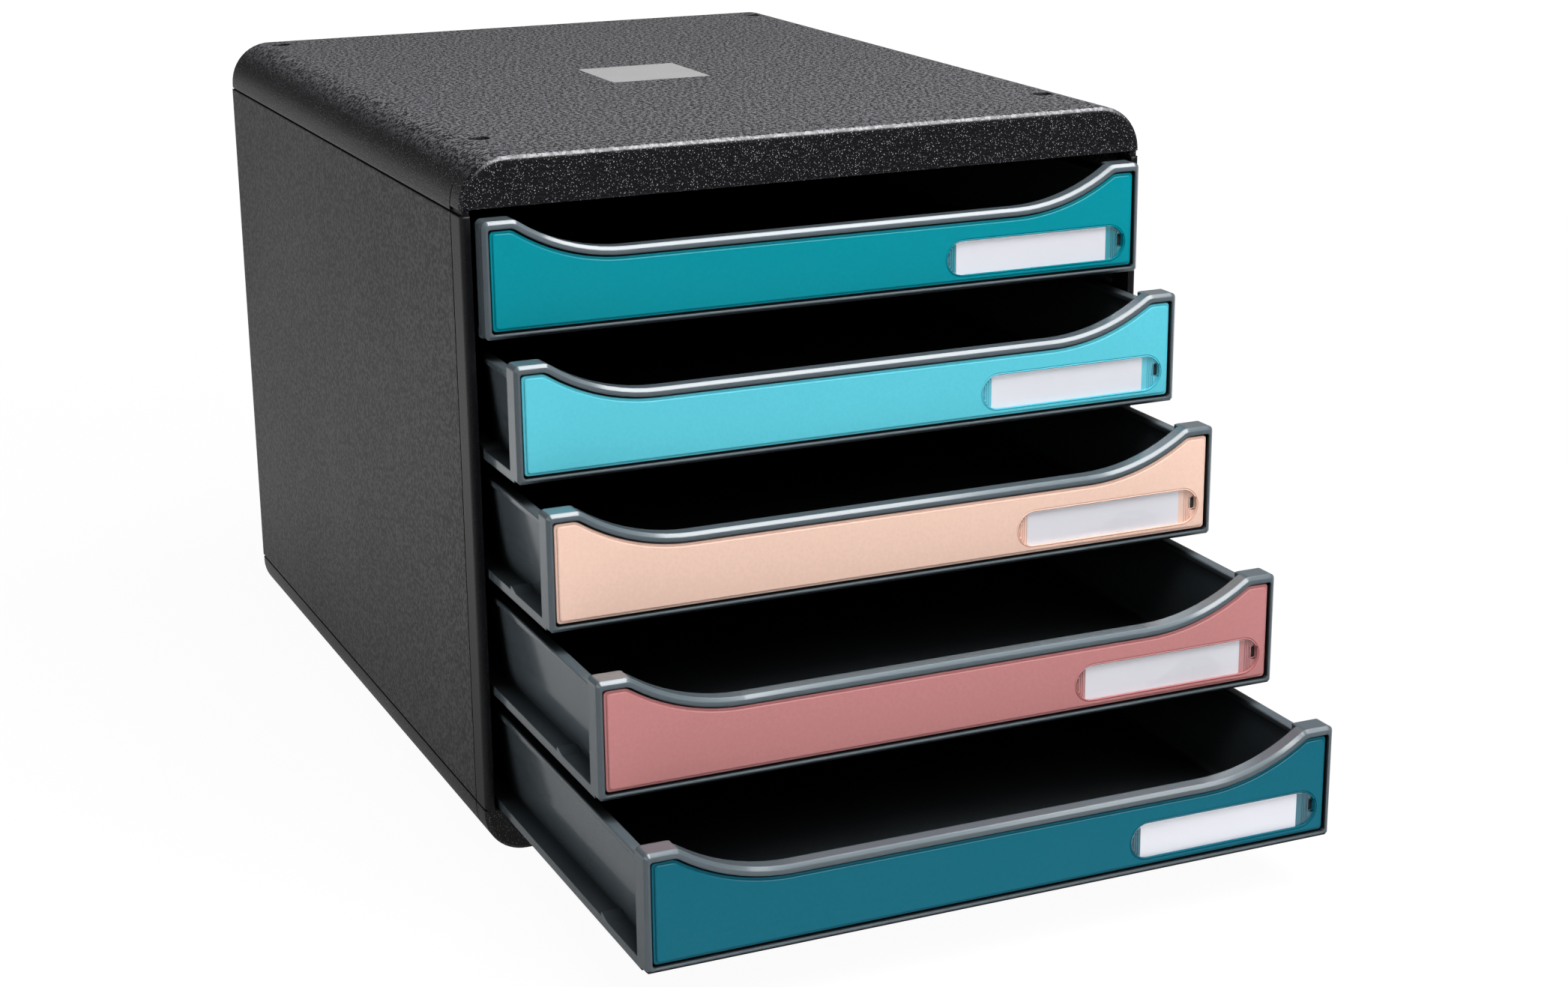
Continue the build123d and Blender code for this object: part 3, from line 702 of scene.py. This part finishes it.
def ribs_mesh(name, finish):
    """The label window's ribs as a piece of their own, creased along every edge."""
    mesh = bmesh.new()
    window_ribs(mesh)
    return finished_object(mesh, name, FINISH[finish], sharp_deg=20.0)


def window_mesh(name):
    """Clear cover: a shallow lens with rounded edges."""
    mesh = bmesh.new()
    front_y, back_y, edge = 0.60, 1.60, 0.45
    profile = [(-WINDOW_GAP, back_y)]
    profile += [(-WINDOW_GAP - inward, front_y + below) for inward, below in quarter_round(edge)]
    profile += [(-WINDOW_GAP - edge - 0.12, front_y)]
    back, front = lofted(mesh, [(stadium(grow), y) for grow, y in profile])
    fill(mesh, back)
    fill(mesh, front)
    piece = finished_object(mesh, name, FINISH["window"])
    cut_away(piece, nail_slot_cutter())
    return piece


def drawer_place(number):
    """Where a drawer's front face and underside are, in metres."""
    tray_low, _ = solid_box(f"drawer_{number}_tray")
    return Vector((0.0, tray_low[1] * MM, tray_low[2] * MM))


def dress_drawer(number, slot):
    """Colour panel, ribs and clear cover of one drawer, which ride with it."""
    body = f"drawer_{number}"
    panel = colour_panel_mesh(f"panel_{number}", slot)
    ribs = ribs_mesh(f"window_ribs_{number}", slot)
    window = window_mesh(f"window_{number}")
    for piece, piece_slot in ((panel, slot), (ribs, slot), (window, "window_clear")):
        piece.data.transform(Matrix.Translation(drawer_place(number)))
        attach(piece, body)
    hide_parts(f"drawer_{number}_colour_panel")
    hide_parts(f"drawer_{number}_label_window")


# ---- Room, light and camera ----
WORLD_LIGHT = 0.12            # strength of the world as a light
BACK_REFLECTION = 0.27        # how bright a gloss shows the room behind the cabinet
FLOOR_REFLECTION = 0.86       # and the floor beside and behind it, before that fades with distance
FRONT_REFLECTION = 0.03       # and the floor and room in front of it
CAMERA_PLACE = (-0.42355, -1.09702, 0.43252)
FOCAL_PX = 3672.88
PHOTO_WIDTH_PX = 2092.0
FILM_WIDTH_MM = 36.0


def seen_rays(tree):
    """1 for what the camera sees straight or through the clear covers, and for what shows in a gloss."""
    path = tree.add("ShaderNodeLightPath").outputs
    straight = tree.math("MAXIMUM", path["Is Camera Ray"], path["Is Transmission Ray"])
    return straight, path["Is Glossy Ray"]


def make_floor():
    """Pale floor that keeps the shadow and meets a white background. In a gloss it is dark towards the front,
    as a studio is behind the camera, dim close to the cabinet, and fades slowly far from it."""
    reach = 12.0
    mesh = bmesh.new()
    mesh.faces.new([mesh.verts.new((x, y, 0.0)) for x, y in
                    ((-reach, -reach), (reach, -reach), (reach, reach), (-reach, reach))])
    data = bpy.data.meshes.new("studio_floor")
    mesh.to_mesh(data)
    mesh.free()
    material, tree, shader = new_material("studio_floor_white", {"Roughness": 0.9, "Specular IOR Level": 0.0})
    mottle = use(tree, SLOW_MOTTLE, {"Patch Size mm": 900.0, "Low": 0.0, "High": 1.0})
    feed(tree, shader, Base_Color=tree.blend(mottle["Value"], FLOOR_PALE, FLOOR_PALE_WORN))
    straight, glossy = seen_rays(tree)
    position = tree.add("ShaderNodeTexCoord").outputs["Object"]
    depth = tree.add("ShaderNodeSeparateXYZ", {"Vector": position}).outputs["Y"]
    distance = tree.add("ShaderNodeVectorMath", {0: position}, operation="LENGTH").outputs["Value"]
    # the glow a gloss sees is a painted reflection of a lit floor; close_by is painted shadow that dims it
    # near the cabinet
    forward = tree.remap(depth, -0.5, 0.0, FRONT_REFLECTION, FLOOR_REFLECTION)
    close_by = tree.remap(distance, 0.18, 0.42, 0.50, 1.0)
    far_off = tree.remap(distance, 0.45, 1.1, 0.74, 0.58)
    reflected = tree.product(forward, close_by, far_off, glossy)
    strength = tree.math("ADD", reflected, tree.math("MULTIPLY", straight, 1.02))
    glow = tree.add("ShaderNodeEmission", {"Color": opaque(WHITE), "Strength": strength}).outputs[0]
    plain = tree.remap(distance, 0.5, 1.3, 0.94, 1.0)
    share = tree.math("MAXIMUM", tree.math("MULTIPLY", straight, plain), glossy)
    mix_surface(tree, share, shader.outputs["BSDF"], glow)
    data.materials.append(material)
    floor = bpy.data.objects.new("studio_floor", data)
    bpy.context.scene.collection.objects.link(floor)


def make_world():
    """White to the camera, dim as a light, and in a gloss brightest low down, behind the cabinet and to the
    right of it."""
    world = bpy.data.worlds.new("studio_world")
    world.use_nodes = True
    bpy.context.scene.world = world
    tree = Tree(world.node_tree)
    straight, glossy = seen_rays(tree)
    direction = tree.add("ShaderNodeTexCoord").outputs["Generated"]
    axes = tree.add("ShaderNodeSeparateXYZ", {"Vector": direction}).outputs
    low = tree.remap(axes["Z"], 0.24, 0.44, 1.0, 0.12)
    behind = tree.remap(axes["Y"], -0.3, 0.7, FRONT_REFLECTION, BACK_REFLECTION)
    right = tree.remap(axes["X"], -0.15, 0.2, 0.38, 1.0)
    seen = tree.math("ADD", straight, tree.product(low, right, behind, glossy))
    lighting = tree.math("SUBTRACT", 1.0, tree.math("MAXIMUM", straight, glossy))
    strength = tree.math("ADD", seen, tree.math("MULTIPLY", lighting, WORLD_LIGHT))
    sky = tree.add("ShaderNodeBackground", {"Color": opaque(WHITE), "Strength": strength}).outputs[0]
    output = tree.add("ShaderNodeOutputWorld")
    tree.tree.links.new(sky, output.inputs["Surface"])


def softbox(name, place, aim, width, height, power):
    """Rectangular light turned towards a point. Metres and watts."""
    light = bpy.data.lights.new(name, "AREA")
    light.shape = "RECTANGLE"
    light.size = width
    light.size_y = height
    light.energy = power
    lamp = bpy.data.objects.new(name, light)
    lamp.location = place
    lamp.rotation_euler = (Vector(aim) - Vector(place)).to_track_quat("-Z", "Y").to_euler()
    bpy.context.scene.collection.objects.link(lamp)


def make_lights():
    softbox("overhead_softbox", place=(0.35, -0.66, 1.55), aim=(0.0, -0.25, 0.14),
            width=1.8, height=0.55, power=32.0)
    softbox("key_softbox", place=(0.75, -1.30, 1.10), aim=(0.0, -0.2, 0.14),
            width=0.9, height=0.8, power=9.5)
    softbox("left_softbox", place=(-1.2, -1.0, 0.5), aim=(0.0, -0.25, 0.10),
            width=0.6, height=0.6, power=1.9)


def make_camera():
    """The photograph's viewpoint, found from the cabinet's corners; 2092 by 1317 pixels."""
    azimuth, elevation, roll = math.radians(-23.87), math.radians(16.76), math.radians(-0.55)
    level = math.cos(elevation)
    back = Vector((math.sin(azimuth) * level, -math.cos(azimuth) * level, math.sin(elevation)))
    right = Vector((0.0, 0.0, 1.0)).cross(back).normalized()
    up = back.cross(right)
    turned_right = right * math.cos(roll) + up * math.sin(roll)
    turned_up = up * math.cos(roll) - right * math.sin(roll)
    data = bpy.data.cameras.new("photo_camera")
    data.sensor_fit = "HORIZONTAL"
    data.sensor_width = FILM_WIDTH_MM
    data.lens = FOCAL_PX / PHOTO_WIDTH_PX * FILM_WIDTH_MM
    data.clip_end = 50.0
    camera = bpy.data.objects.new("photo_camera", data)
    rows = Matrix((turned_right, turned_up, back)).transposed()
    camera.matrix_world = Matrix.Translation(CAMERA_PLACE) @ rows.to_4x4()
    bpy.context.scene.collection.objects.link(camera)
    bpy.context.scene.camera = camera


def main():
    bpy.context.scene.view_settings.view_transform = "Standard"
    make_camera()
    paint_solids()
    for number, slot in enumerate(PANEL_SLOTS, start=1):
        dress_drawer(number, slot)
    make_floor()
    make_world()
    make_lights()


main()
